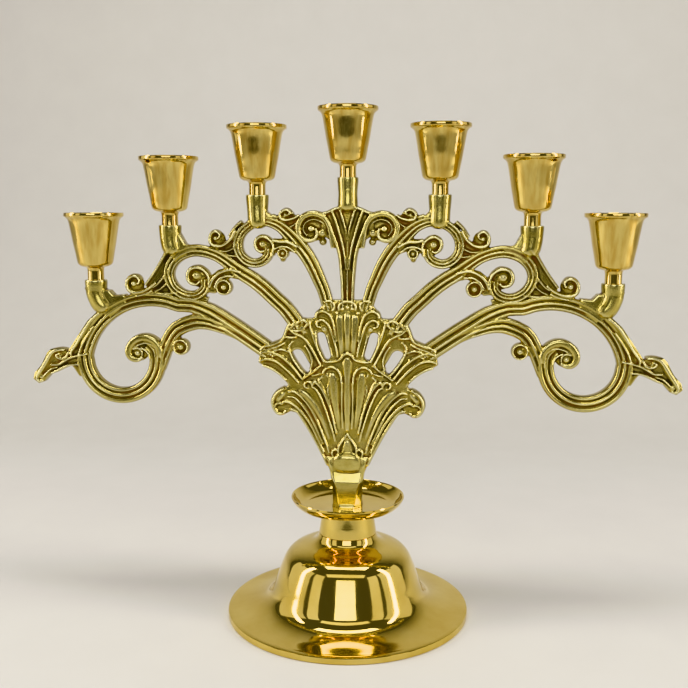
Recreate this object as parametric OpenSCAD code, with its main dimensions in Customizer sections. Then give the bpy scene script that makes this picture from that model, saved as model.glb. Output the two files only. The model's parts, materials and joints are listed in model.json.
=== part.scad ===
// Seven-light candelabrum: a flat openwork casting with seven turned candle cups,
// clamped through a drip pan and a collar to a bell foot. Millimetres, +Z up,
// origin on the floor under the middle of the foot, casting in the XZ plane.

/* [Foot] */
// Radius of the foot at its rim
foot_r = 71.5; // [60:0.5:90]
// Height of the upright band round the rim
foot_band_h = 4; // [3:0.5:6]
// Height of the top of the bell, where the collar stands
foot_h = 48.5; // [45:0.5:52]
// Thickness of the spun sheet of the foot
foot_sheet = 1.5; // [1:0.1:2]

/* [Collar and drip pan] */
// Height of the collar
collar_h = 15.5; // [12:0.5:20]
// Radius of the collar at its bottom
collar_r_low = 17; // [15:0.5:18]
// Radius of the collar at its top
collar_r_top = 14.9; // [12:0.1:15]
// Outer radius of the drip pan
pan_r = 33.6; // [28:0.2:40]
// Height of the pan from its underside to its lip
pan_h = 7.2; // [5:0.1:10]
// Thickness of the pan sheet
pan_sheet = 1.2; // [0.8:0.1:2]

/* [Casting] */
// Thickness of the scrolls
scroll_t = 8; // [6:0.5:10]
// Thickness of the shell
shell_t = 10; // [8:0.5:12]
// Thickness of the thin webs between scrolls
web_t = 5; // [3:0.5:6]
// Radius of the neck
neck_r = 8.2; // [8:0.1:9]
// Radius of a post at its top
post_r = 6.6; // [6:0.1:7]

/* [Candle cups] */
// Radius of a cup over its lip
cup_r = 17.1; // [16:0.1:18]
// Height of a cup with its nipple
cup_h = 39; // [36:0.5:42]
// Radius of the nipple under a cup
nipple_r = 4.8; // [4.5:0.1:5.5]
// Length of the nipple
nipple_h = 7.5; // [6:0.5:9]
// Thickness of the wall of a cup
cup_wall = 1.5; // [1.2:0.1:2]

/* [Fasteners] */
// Diameter of the tie rod
rod_d = 6; // [5:0.5:6]
// Diameter of the stud under a cup
stud_d = 4; // [3:0.5:4]
// Length of a stud
stud_l = 12.6; // [11:0.1:13]
// Play round the rod and the studs in their holes, on the radius
play = 0.3; // [0.3:0.05:0.5]

/* [Hidden] */
$fn = 96;

polished = "gold";
satin = "khaki";
steel = "silver";

// Where each post stands and how high its flat top is, from left to right
post_x = [-149, -103.5, -52, 0, 52, 103.5, 149];
post_z = [198, 230, 247.3, 257, 247.3, 230, 198];

collar_z = foot_h;
pan_z = collar_z + collar_h;
neck_z = pan_z + pan_sheet;
stud_in_post = 6.3;
stud_hole = stud_in_post + 0.7;
washer_t = 1.6;
washer_r = 9;
nut_h = 5;
nut_flats = 10;
rod_low = foot_h - foot_sheet - washer_t - nut_h - 2;
rod_top = neck_z + 13;

// ---- curves ----

// One coordinate on a smooth curve through b and c
function through(a, b, c, d, t) =
    0.5 * (2 * b + (c - a) * t + (2 * a - 5 * b + 4 * c - d) * t * t
    + (3 * b - a - 3 * c + d) * t * t * t);

// A smooth curve through all points, with n steps between each pair
function smooth(p, n = 3) = concat(
    [for (i = [0 : len(p) - 2], k = [0 : n - 1])
        through(p[max(i - 1, 0)], p[i], p[i + 1], p[min(i + 2, len(p) - 1)], k / n)],
    [p[len(p) - 1]]);

// Points of an arc from angle a to angle b, each with a width
function arc(x, z, r, a, b, w, n = 8) =
    [for (i = [0 : n]) [x + r * cos(a + (b - a) * i / n), z + r * sin(a + (b - a) * i / n), w]];

// Unit normal of a curve at point i
function normal(p, i) =
    let (d = p[min(i + 1, len(p) - 1)] - p[max(i - 1, 0)], l = norm([d[0], d[1]]))
    [-d[1] / l, d[0] / l];

// One side of a curve, moved out by s times its width
function side(p, s) =
    [for (i = [0 : len(p) - 1]) [p[i][0], p[i][1]] + normal(p, i) * s * p[i][2]];

function reversed(p) = [for (i = [len(p) - 1 : -1 : 0]) p[i]];

// A flat strap along a curve of points [x, z, width]
module strap(p) {
    polygon(concat(side(p, 0.5), reversed(side(p, -0.5))));
}

// Stands a flat outline up in the XZ plane, t thick about the middle
module upright(t) {
    translate([0, t / 2, 0])
        rotate([90, 0, 0])
            linear_extrude(t)
                children();
}

module both_sides() {
    children();
    mirror([1, 0, 0])
        children();
}

// A sheet of thickness t turned about Z, below and inside a curve [r, z]
module turned_sheet(curve, t) {
    rounds = [for (c = curve) [c[0], c[1], t]];
    rotate_extrude()
        polygon(concat([for (c = curve) [c[0], c[1]]], reversed(side(rounds, -1))));
}

// ---- foot, collar and pan ----

// Outside of the bell from the top to the band, and down the band
bell = [[rod_d / 2 + play, foot_h], [17, foot_h], [18.4, 45], [22, 42.6], [28, 41],
    [33, 38.7], [36.6, 35], [39.2, 29.5], [41.6, 23], [43.8, 16.5], [46.4, 11.2], [51, 7.4],
    [59, 5.1], [foot_r - 3, foot_band_h], [foot_r, foot_band_h]];

module foot() {
    outside = concat([bell[0], bell[1]],
        [for (q = smooth([for (i = [1 : len(bell) - 2]) bell[i]], 2)) if (q[0] > 17.01) q],
        [bell[len(bell) - 1]]);
    color(polished) {
        turned_sheet(outside, foot_sheet);
        rotate_extrude()
            translate([foot_r - 1.8, 0])
                square([1.8, foot_band_h]);
    }
}

module collar() {
    color(polished)
        translate([0, 0, collar_z])
            difference() {
                cylinder(h = collar_h, r1 = collar_r_low, r2 = collar_r_top);
                translate([0, 0, -1])
                    cylinder(h = collar_h + 2, r = rod_d / 2 + play);
            }
}

module drip_pan() {
    edge_r = pan_r - pan_sheet;
    lip = [[rod_d / 2 + play, pan_sheet], [edge_r - 7, pan_sheet], [edge_r - 4.6, 1.9],
        [edge_r - 2.6, 3.5], [edge_r - 1, 5.3], [edge_r, pan_h]];
    color(polished)
        translate([0, 0, pan_z])
            turned_sheet(lip, pan_sheet);
}

// ---- casting ----

// Arm and C-scroll at the end of the casting
end_scroll = concat(
    smooth([[47, 157.5, 11], [60, 166.5, 11], [70, 173, 11], [80, 179.3, 10.5], [91, 183.5, 9]], 2),
    arc(115.3, 144.3, 42.6, 112, 12, 8.8, 12),
    arc(135, 151, 22, -4, -176, 9.6, 14),
    [[113.2, 155.5, 9], [117, 160.2, 8.5], [123, 161, 7.5]]);
// Arm and scroll under the second and sixth cups
second_scroll = smooth([[31, 175.5, 9.5], [36, 182, 9.3], [42, 187.6, 9.2], [48.6, 193.8, 9.2],
    [55.5, 199, 9], [62.5, 203.2, 8.5], [70, 208.8, 7.5], [76, 212.5, 7], [83, 214.8, 7],
    [90, 215.3, 7.3], [97, 213, 7], [102.5, 208, 6.5], [104.8, 201.2, 5.8], [102.3, 194.5, 5.8],
    [97, 190, 5.8], [91, 188.9, 6], [85.5, 190.8, 7], [82.2, 195.5, 7], [84, 200, 6]], 2);
// Arm and scroll under the third and fifth cups
third_scroll = smooth([[11.5, 184.5, 7.2], [13.8, 192.6, 7.4], [16.5, 199, 7.8], [20, 206.7, 8.3],
    [24, 213.5, 8.8], [29, 219.8, 9], [34.5, 225.7, 8], [40, 230, 6.5], [47, 232.2, 5.8],
    [54, 231, 5.6], [60, 227, 5.6], [63.3, 221.5, 5.6], [63, 214.5, 5.4], [59, 209.8, 5.4],
    [54, 207.9, 5.6], [49, 209.5, 6.5], [45.5, 213, 7], [45, 217, 6]], 2);
// Inner arch from the outer arm down to the hook of the C-scroll
inner_arch = smooth([[66, 169, 9], [80, 173.5, 9], [91, 173.4, 9.5], [100.5, 169.5, 9.5],
    [106, 162, 9], [108, 153, 8], [110, 145, 7]], 2);
third_leaf = smooth([[30, 217.5, 6], [37, 219, 6], [45, 218.6, 7]], 2);
end_curl = smooth([[117.5, 194, 5], [121.5, 191.4, 5.5], [128, 190.4, 5], [131.5, 194.5, 4]], 2);
second_bud = [[80.5, 195.5, 5], [76.5, 192.8, 5], [72, 192.4, 4]];
second_leaf = smooth([[65, 203.6, 5], [72, 203.5, 4.6], [77, 200.6, 5], [80.5, 195.5, 6]], 2);

end_strap = [[150, 149], [161.2, 138.1], [166.3, 147.3], [168.1, 155.4], [161.1, 165.2],
    [155.3, 173.8], [149, 180.3], [141, 178], [150, 166]];
end_leaf = [[160, 158], [168.1, 155.4], [170.3, 157], [173.6, 157.7], [178, 156.9], [180.4, 154.7],
    [184.1, 147], [188.8, 142], [190.1, 137.6], [185.8, 134.7], [181.8, 136.7], [178.2, 141.1],
    [170.8, 145.6], [160, 149]];
post_1_foot = [[155.5, 194], [154, 190.5], [151.5, 186.1], [149, 180.3], [140, 176], [130, 184],
    [131, 190.8], [138.3, 189.9], [140.3, 193]];
post_2_foot = [[109.6, 226], [108.2, 222.5], [104.6, 215.6], [100, 208], [92, 214], [86, 217.5],
    [94, 219.6], [96, 225]];
post_3_foot = [[56.5, 243], [57, 231], [43, 231], [42, 234.6], [46, 238], [47.5, 243]];
second_web = [[118, 195.5], [112.4, 203], [106.2, 212.7], [104.6, 215.6], [100, 211], [104, 203],
    [101, 192], [93, 187.5], [80.2, 188.5], [81.2, 184.5], [98, 185], [112, 188.5], [122, 189]];
third_web = [[82.4, 217.5], [79, 219], [71.5, 220], [68.2, 222.9], [64.7, 228.1], [62, 222],
    [62, 207], [70, 209], [78, 214]];
first_web = [[43.1, 234], [38, 233.5], [32, 236.5], [27, 235.8], [25, 226], [28, 219], [36, 226],
    [41, 230]];
crown = [[-5.6, 240.6], [5.6, 240.6], [8.3, 238.9], [12, 237.6], [16, 237.8], [15, 226], [12, 222.2],
    [7.8, 221], [6, 215.2], [4.9, 206.5], [3.9, 197.7], [3.7, 184], [-3.7, 184], [-3.9, 197.7],
    [-4.9, 206.5], [-6, 215.2], [-7.8, 221], [-12, 222.2], [-15, 226], [-16, 237.8], [-12, 237.6],
    [-8.3, 238.9]];
// Right half of the outline of the shell, from its crest down to the neck
shell_half = [[0, 188], [8.4, 188], [13.2, 186.4], [17.9, 181], [19.8, 177], [26.9, 176.7],
    [33.5, 174.3], [36, 168.9], [37.2, 165.2], [45.7, 161.5], [51.5, 158.5], [53, 150], [45, 146],
    [37, 141], [34.5, 136.6], [40, 134.5], [44.5, 129.5], [44.5, 124.6], [41.2, 119], [37, 119.2],
    [33.6, 121.4], [29.5, 120.6], [24.8, 113.3], [19.4, 104.4], [15.1, 96.4], [11.6, 89.2],
    [9.6, 82], [8.2, 76]];

// A slot with round ends, w wide and l long, leaning a degrees
module slot(w, l, a) {
    rotate(-a) {
        square([w, l - w], center = true);
        for (s = [-1, 1])
            translate([0, s * (l - w) / 2])
                circle(d = w);
    }
}

module shell_outline() {
    difference() {
        polygon(concat(shell_half, reversed([for (q = shell_half) if (q[0] > 0) [-q[0], q[1]]])));
        for (s = [-1, 1]) {
            translate([s * 14, 160.4])
                slot(5.5, 16.8, s * 15);
            translate([s * 27.1, 151.2])
                slot(7.5, 15.5, s * 30);
        }
    }
}

module post(i) {
    translate([post_x[i], 0, post_z[i] - 8])
        cylinder(h = 8, r = post_r);
    translate([post_x[i], 0, post_z[i] - 17])
        cylinder(h = 9.2, r1 = 4.2, r2 = post_r);
}

module stud_holes() {
    for (i = [0 : len(post_x) - 1])
        translate([post_x[i], 0, post_z[i] - stud_hole])
            cylinder(h = stud_hole + 1, d = stud_d + 2 * play);
}

module balls() {
    for (b = [[127.6, 154.2, 7.3], [89.7, 200.3, 6.3], [49.7, 219, 5.9], [126, 196.3, 5.8],
            [76.2, 223, 5.1], [35.8, 236.4, 4.1], [72, 194, 4.9], [37.8, 213.4, 3.6],
            [99, 159, 4.7]])
        translate([b[0], 0, b[1]])
            sphere(r = b[2]);
}

module branch_casting() {
    color(satin)
        difference() {
            union() {
                both_sides() {
                    upright(scroll_t) {
                        strap(end_scroll);
                        strap(second_scroll);
                        strap(third_scroll);
                        strap(inner_arch);
                        strap(second_leaf);
                        strap(third_leaf);
                        strap(end_curl);
                        strap(second_bud);
                        polygon(end_strap);
                        polygon(end_leaf);
                        polygon(post_1_foot);
                        polygon(post_2_foot);
                        polygon(post_3_foot);
                        translate([20.5, 229])
                            circle(r = 9.6);
                    }
                    upright(web_t) {
                        polygon(first_web);
                        polygon(second_web);
                        polygon(third_web);
                    }
                    balls();
                }
                upright(scroll_t + 1)
                    polygon(crown);
                upright(shell_t)
                    shell_outline();
                translate([0, 0, neck_z])
                    cylinder(h = 22, r1 = neck_r, r2 = neck_r + 1);
                translate([0, 0, neck_z])
                    cylinder(h = 1.6, r = neck_r + 1.6);
                for (i = [0 : len(post_x) - 1])
                    post(i);
            }
            stud_holes();
            translate([0, 0, neck_z - 1])
                cylinder(h = rod_top - neck_z + 1, d = rod_d);
        }
}

// ---- candle cups ----

module candle_cup(i) {
    low = nipple_h;
    lip = cup_h - 2.6;
    outside = [[nipple_r, 0], [nipple_r, low - 1.2], [nipple_r + 0.7, low], [8.4, low + 0.6],
        [10, low + 2], [10.5, low + 3.8], [12.4, low + 13], [14.4, lip - 3.4], [15.2, lip - 1],
        [16.4, lip], [cup_r, lip + 0.6], [cup_r, cup_h - 0.5], [cup_r - 0.5, cup_h]];
    inside = [[14.3, cup_h], [13.6, lip - 2], [9.2, low + 4.5], [8, low + 3.2], [0, low + 3.2]];
    color(polished)
        translate([post_x[i - 1], 0, post_z[i - 1]])
            difference() {
                rotate_extrude()
                    polygon(concat([[0, 0]], outside, inside));
                translate([0, 0, -1])
                    cylinder(h = stud_l - stud_in_post + 1, d = stud_d + 2 * play);
            }
}

module cup_stud(i) {
    color(steel)
        translate([post_x[i - 1], 0, post_z[i - 1] - stud_in_post])
            cylinder(h = stud_l, d = stud_d);
}

// ---- clamp ----

module tie_rod() {
    color(steel)
        translate([0, 0, rod_low])
            cylinder(h = rod_top - rod_low, d = rod_d);
}

module washer() {
    color(steel)
        translate([0, 0, foot_h - foot_sheet - washer_t])
            difference() {
                cylinder(h = washer_t, r = washer_r);
                translate([0, 0, -1])
                    cylinder(h = washer_t + 2, r = rod_d / 2 + play);
            }
}

module hex_nut() {
    color(steel)
        translate([0, 0, foot_h - foot_sheet - washer_t - nut_h])
            difference() {
                cylinder(h = nut_h, d = nut_flats / cos(30), $fn = 6);
                translate([0, 0, -1])
                    cylinder(h = nut_h + 2, d = rod_d);
            }
}

foot();
collar();
drip_pan();
branch_casting();
for (i = [1 : 7]) {
    candle_cup(i);
    cup_stud(i);
}
tie_rod();
washer();
hex_nut();
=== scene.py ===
import json
import math

import bmesh
import bpy
from mathutils import Matrix, Vector


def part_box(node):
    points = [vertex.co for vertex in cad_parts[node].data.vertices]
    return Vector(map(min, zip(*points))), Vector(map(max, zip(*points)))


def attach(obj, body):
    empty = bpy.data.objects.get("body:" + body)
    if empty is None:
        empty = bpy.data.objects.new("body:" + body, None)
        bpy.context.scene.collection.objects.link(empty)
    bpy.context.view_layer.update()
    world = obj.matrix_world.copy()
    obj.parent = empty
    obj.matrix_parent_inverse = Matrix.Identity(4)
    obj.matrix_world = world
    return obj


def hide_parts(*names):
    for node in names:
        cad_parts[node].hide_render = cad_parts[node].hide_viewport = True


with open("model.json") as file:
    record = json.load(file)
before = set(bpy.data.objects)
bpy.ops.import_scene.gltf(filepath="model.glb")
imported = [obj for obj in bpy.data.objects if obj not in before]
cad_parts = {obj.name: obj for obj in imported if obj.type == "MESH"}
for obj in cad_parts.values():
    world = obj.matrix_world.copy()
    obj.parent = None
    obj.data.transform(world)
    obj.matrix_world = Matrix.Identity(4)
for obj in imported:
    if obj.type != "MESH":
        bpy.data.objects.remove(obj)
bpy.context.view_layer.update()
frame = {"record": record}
mm = 0.001


def placed(name, data):
    made = bpy.data.objects.new(name, data)
    bpy.context.collection.objects.link(made)
    return made


# where the camera stands and what it sees
view = {
    "place": (0.0492, -0.5340, 0.2408),
    "tiltDegrees": 81.6,
    "turnDegrees": 5.5,
    "lens": 48.9,
    "sensor": 36.0,
}


def makeCamera():
    lens = bpy.data.cameras.new("camera")
    lens.lens = view["lens"]
    lens.sensor_width = view["sensor"]
    lens.clip_start = 0.01
    camera = placed("camera", lens)
    camera.location = view["place"]
    camera.rotation_euler = (math.radians(view["tiltDegrees"]), 0, math.radians(view["turnDegrees"]))
    bpy.context.scene.camera = camera


makeCamera()
print("camera placed")


# small tools shared by all pieces

def linearColour(hexColour):
    channels = [int(hexColour[i:i + 2], 16) / 255 for i in (1, 3, 5)]
    straight = [c / 12.92 if c <= 0.04045 else ((c + 0.055) / 1.055) ** 2.4 for c in channels]
    return (*straight, 1)


def addNode(tree, kind, inputs=(), **settings):
    # inputs come in the order of the sockets, or by name or number; a node stands for its first output
    node = tree.nodes.new(kind)
    for name, value in settings.items():
        setattr(node, name, value)
    for key, value in inputs.items() if isinstance(inputs, dict) else enumerate(inputs):
        if isinstance(value, bpy.types.Node):
            value = value.outputs[0]
        if isinstance(value, bpy.types.NodeSocket):
            tree.links.new(value, node.inputs[key])
        else:
            node.inputs[key].default_value = value
    return node


def bend(points, steps=4):
    # a smooth curve through all the points; every number of a point is carried along
    out = []
    for i in range(len(points) - 1):
        a = points[max(i - 1, 0)]
        b, c = points[i], points[i + 1]
        d = points[min(i + 2, len(points) - 1)]
        for k in range(steps):
            t = k / steps
            out.append(tuple(
                0.5 * (2 * q + (r - p) * t + (2 * p - 5 * q + 4 * r - s) * t * t
                       + (3 * q - p - 3 * r + s) * t ** 3)
                for p, q, r, s in zip(a, b, c, d)))
    return out + [tuple(points[-1])]


def arcPoints(x, z, radius, start, end, width, count):
    turns = [math.radians(start + (end - start) * i / count) for i in range(count + 1)]
    return [(x + radius * math.cos(t), z + radius * math.sin(t), width) for t in turns]


def curveObject(name, lines, closed=False):
    # lines of points (x, y, z, radius), in metres
    data = bpy.data.curves.new(name, "CURVE")
    data.dimensions = "3D"
    for line in lines:
        spline = data.splines.new("POLY")
        spline.points.add(len(line) - 1)
        for point, (x, y, z, radius) in zip(spline.points, line):
            point.co = (x, y, z, 1)
            point.radius = radius
        spline.use_cyclic_u = closed
    return placed(name, data)


def newTree(name, sockets):
    tree = bpy.data.node_groups.new(name, "GeometryNodeTree")
    tree.interface.new_socket("Geometry", in_out="INPUT", socket_type="NodeSocketGeometry")
    for label, kind in sockets.items():
        tree.interface.new_socket(label, in_out="INPUT", socket_type="NodeSocket" + kind)
    tree.interface.new_socket("Geometry", in_out="OUTPUT", socket_type="NodeSocketGeometry")
    return tree, addNode(tree, "NodeGroupInput").outputs


def closeTree(tree, geometry, material):
    real = addNode(tree, "GeometryNodeRealizeInstances", {"Geometry": geometry})
    painted = addNode(tree, "GeometryNodeSetMaterial", {"Geometry": real, "Material": material})
    addNode(tree, "NodeGroupOutput", {"Geometry": painted})


def useTree(thing, tree, values):
    modifier = thing.modifiers.new(tree.name, "NODES")
    modifier.node_group = tree
    for item in tree.interface.items_tree:
        if item.in_out == "INPUT" and item.name in values:
            modifier[item.identifier] = values[item.name]


def plainMesh(source, name, mergeWithin=None):
    # what the modifiers make, as a mesh of its own with its faces outwards
    graph = bpy.context.evaluated_depsgraph_get()
    data = bpy.data.meshes.new_from_object(source.evaluated_get(graph))
    data.name = name
    bpy.data.objects.remove(source)
    work = bmesh.new()
    work.from_mesh(data)
    if mergeWithin:
        bmesh.ops.remove_doubles(work, verts=work.verts, dist=mergeWithin)
    if work.calc_volume(signed=True) < 0:
        bmesh.ops.reverse_faces(work, faces=work.faces)
    work.to_mesh(data)
    work.free()
    return placed(name, data)


def builtMesh(name, work, material=None):
    data = bpy.data.meshes.new(name)
    work.to_mesh(data)
    work.free()
    if material:
        data.materials.append(material)
    return placed(name, data)


def joined(name, parts):
    work = bmesh.new()
    for part in parts:
        work.from_mesh(part.data)
        bpy.data.objects.remove(part)
    return builtMesh(name, work)


def mirroredCopy(part, name):
    data = part.data.copy()
    data.name = name
    work = bmesh.new()
    work.from_mesh(data)
    for vertex in work.verts:
        vertex.co.x = -vertex.co.x
    bmesh.ops.reverse_faces(work, faces=work.faces)
    work.to_mesh(data)
    work.free()
    return placed(name, data)


def skinBetween(work, first, second):
    # faces from one ring of corners to the next
    for i in range(len(first)):
        j = (i + 1) % len(first)
        work.faces.new((first[i], first[j], second[j], second[i]))


# materials; the size of each grain is in millimetres

def newMaterial(name):
    material = bpy.data.materials.new(name)
    material.use_nodes = True
    tree = material.node_tree
    tree.nodes.clear()
    return material, tree, addNode(tree, "ShaderNodeTexCoord").outputs["Object"]


def finishMaterial(tree, surface):
    shader = addNode(tree, "ShaderNodeBsdfPrincipled", surface)
    addNode(tree, "ShaderNodeOutputMaterial", {"Surface": shader})


def spunPolishedBrass():
    # Brass sheet spun on a lathe and buffed: mirror bright, deep yellow, with faint rings
    # round the axis and a little handling haze. The rings of a buffing wheel are finer than
    # these; they are drawn 0.8 mm wide so that they show.
    material, tree, place = newMaterial("spunPolishedBrass")
    x, y, z = addNode(tree, "ShaderNodeSeparateXYZ", {"Vector": place}).outputs
    squares = [addNode(tree, "ShaderNodeMath", [side, side], operation="MULTIPLY") for side in (x, y)]
    both = addNode(tree, "ShaderNodeMath", squares, operation="ADD")
    radius = addNode(tree, "ShaderNodeMath", [both, 0.5], operation="POWER")
    rings = addNode(tree, "ShaderNodeCombineXYZ", [radius, 0.0, z])
    turned = addNode(tree, "ShaderNodeTexNoise", {"Vector": rings, "Scale": 1 / (0.8 * mm), "Detail": 3.0})
    haze = addNode(tree, "ShaderNodeTexNoise", {"Vector": place, "Scale": 1 / (22 * mm), "Detail": 4.0})
    cloudy = addNode(tree, "ShaderNodeMapRange", [haze, 0.35, 0.7])
    tint = addNode(tree, "ShaderNodeMix", {0: cloudy, 6: linearColour("#E3CC7C"),
                                           7: linearColour("#D6BB64")}, data_type="RGBA")
    shine = addNode(tree, "ShaderNodeMapRange", [haze, 0.3, 0.75, 0.045, 0.11])
    bump = addNode(tree, "ShaderNodeBump", {"Height": turned, "Strength": 0.05, "Distance": 0.05 * mm})
    finishMaterial(tree, {"Base Color": tint.outputs[2], "Metallic": 1.0, "Roughness": shine,
                          "Normal": bump})
    return material


def buffedCupBrass():
    # Cast cups turned and buffed by hand: upright wheel marks, and a slightly softer shine than
    # the spun sheet. The marks are drawn 0.9 mm wide, coarser than real ones, so that they show.
    material, tree, place = newMaterial("buffedCupBrass")
    drawn = addNode(tree, "ShaderNodeMapping", {"Vector": place, "Scale": (1.0, 1.0, 0.08)})
    marks = addNode(tree, "ShaderNodeTexNoise", {"Vector": drawn, "Scale": 1 / (0.9 * mm), "Detail": 3.0})
    streaks = addNode(tree, "ShaderNodeTexNoise", {"Vector": drawn, "Scale": 1 / (3 * mm), "Detail": 2.0})
    faint = addNode(tree, "ShaderNodeMapRange", [streaks, 0.35, 0.65])
    tint = addNode(tree, "ShaderNodeMix", {0: faint, 6: linearColour("#E2CC80"),
                                           7: linearColour("#CCAE62")}, data_type="RGBA")
    shine = addNode(tree, "ShaderNodeMapRange", [marks, 0.3, 0.7, 0.07, 0.14])
    bump = addNode(tree, "ShaderNodeBump", {"Height": marks, "Strength": 0.12, "Distance": 0.06 * mm})
    finishMaterial(tree, {"Base Color": tint.outputs[2], "Metallic": 1.0, "Roughness": shine,
                          "Normal": bump})
    return material


def castSatinBrass():
    # Sand-cast brass, brushed and lacquered: pale lemon ridges, fine grain left by the sand,
    # red-brown tarnish lying in the grooves. Moulding sand is finer than the 0.7 mm grain here,
    # which is as coarse as it needs to be to show.
    material, tree, place = newMaterial("castSatinBrass")
    height = addNode(tree, "ShaderNodeAttribute", attribute_name="relief").outputs["Fac"]
    sand = addNode(tree, "ShaderNodeTexNoise",
                   {"Vector": place, "Scale": 1 / (0.7 * mm), "Detail": 3.0, "Roughness": 0.6})
    blotch = addNode(tree, "ShaderNodeTexNoise",
                     {"Vector": place, "Scale": 1 / (9 * mm), "Detail": 4.0, "Roughness": 0.55})
    patches = addNode(tree, "ShaderNodeTexNoise", {"Vector": place, "Scale": 1 / (16 * mm), "Detail": 3.0})
    wander = addNode(tree, "ShaderNodeMapRange", [blotch, 0.3, 0.7, -0.18, 0.18])
    level = addNode(tree, "ShaderNodeMath", [height, wander], operation="ADD")
    uneven = addNode(tree, "ShaderNodeMapRange", [blotch, 0.35, 0.65])
    metal = addNode(tree, "ShaderNodeMix", {0: uneven, 6: linearColour("#CFC27A"),
                                            7: linearColour("#AE9E52")}, data_type="RGBA")
    ridge = addNode(tree, "ShaderNodeMapRange", [level, 0.15, 0.8])
    worn = addNode(tree, "ShaderNodeMix", {0: ridge, 6: metal.outputs[2],
                                           7: linearColour("#F0E9B4")}, data_type="RGBA")
    # painted shade: faces that lie deeper in the casting, nearer its middle plane, are darkened towards
    # dark olive as if in shadow
    depth = addNode(tree, "ShaderNodeSeparateXYZ", [place]).outputs["Y"]
    away = addNode(tree, "ShaderNodeMath", [depth], operation="ABSOLUTE")
    recessShade = addNode(tree, "ShaderNodeMapRange", [away, 3.9 * mm, 2.4 * mm, 0.0, 0.46])
    shadedInRecesses = addNode(tree, "ShaderNodeMix", {0: recessShade, 6: worn.outputs[2],
                                             7: linearColour("#74601F")}, data_type="RGBA")
    patchy = addNode(tree, "ShaderNodeMapRange", [patches, 0.45, 0.62])
    tarnish = addNode(tree, "ShaderNodeMix", {0: patchy, 6: linearColour("#33270C"),
                                              7: linearColour("#6E4616")}, data_type="RGBA")
    groove = addNode(tree, "ShaderNodeMapRange", [level, -0.13, -0.6])
    colour = addNode(tree, "ShaderNodeMix", {0: groove, 6: shadedInRecesses.outputs[2],
                                             7: tarnish.outputs[2]}, data_type="RGBA")
    bare = addNode(tree, "ShaderNodeMapRange", [groove, 0.0, 1.0, 1.0, 0.55])
    brushed = addNode(tree, "ShaderNodeMapRange", [sand, 0.3, 0.7, 0.15, 0.27])
    matt = addNode(tree, "ShaderNodeMapRange", [groove, 0.0, 1.0, 0.0, 0.22])
    rough = addNode(tree, "ShaderNodeMath", [brushed, matt], operation="ADD")
    bump = addNode(tree, "ShaderNodeBump", {"Height": sand, "Strength": 0.35, "Distance": 0.12 * mm})
    finishMaterial(tree, {"Base Color": colour.outputs[2], "Metallic": bare, "Roughness": rough,
                          "Normal": bump})
    return material


def zincPlatedSteel():
    # Bright zinc on rolled threads and stamped washers: cool grey, slightly cloudy.
    material, tree, place = newMaterial("zincPlatedSteel")
    cloud = addNode(tree, "ShaderNodeTexNoise", {"Vector": place, "Scale": 1 / (2.5 * mm), "Detail": 4.0})
    tint = addNode(tree, "ShaderNodeMix", {0: cloud, 6: linearColour("#B9BDC0"),
                                           7: linearColour("#8F949A")}, data_type="RGBA")
    shine = addNode(tree, "ShaderNodeMapRange", [cloud, 0.3, 0.7, 0.22, 0.4])
    finishMaterial(tree, {"Base Color": tint.outputs[2], "Metallic": 1.0, "Roughness": shine})
    return material


def paleStudioPaper():
    # Matt background paper with the faintest tooth
    material, tree, place = newMaterial("paleStudioPaper")
    tooth = addNode(tree, "ShaderNodeTexNoise", {"Vector": place, "Scale": 1 / (40 * mm), "Detail": 3.0})
    tint = addNode(tree, "ShaderNodeMix", {0: tooth, 6: linearColour("#D8D6D2"),
                                           7: linearColour("#DEDCD8")}, data_type="RGBA")
    finishMaterial(tree, {"Base Color": tint.outputs[2], "Roughness": 0.9})
    return material


spunBrass = spunPolishedBrass()
cupBrass = buffedCupBrass()
castBrass = castSatinBrass()
zincSteel = zincPlatedSteel()
print("materials ready")


# turned parts: a profile swept round an upright axis, with a thread where asked for

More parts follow.
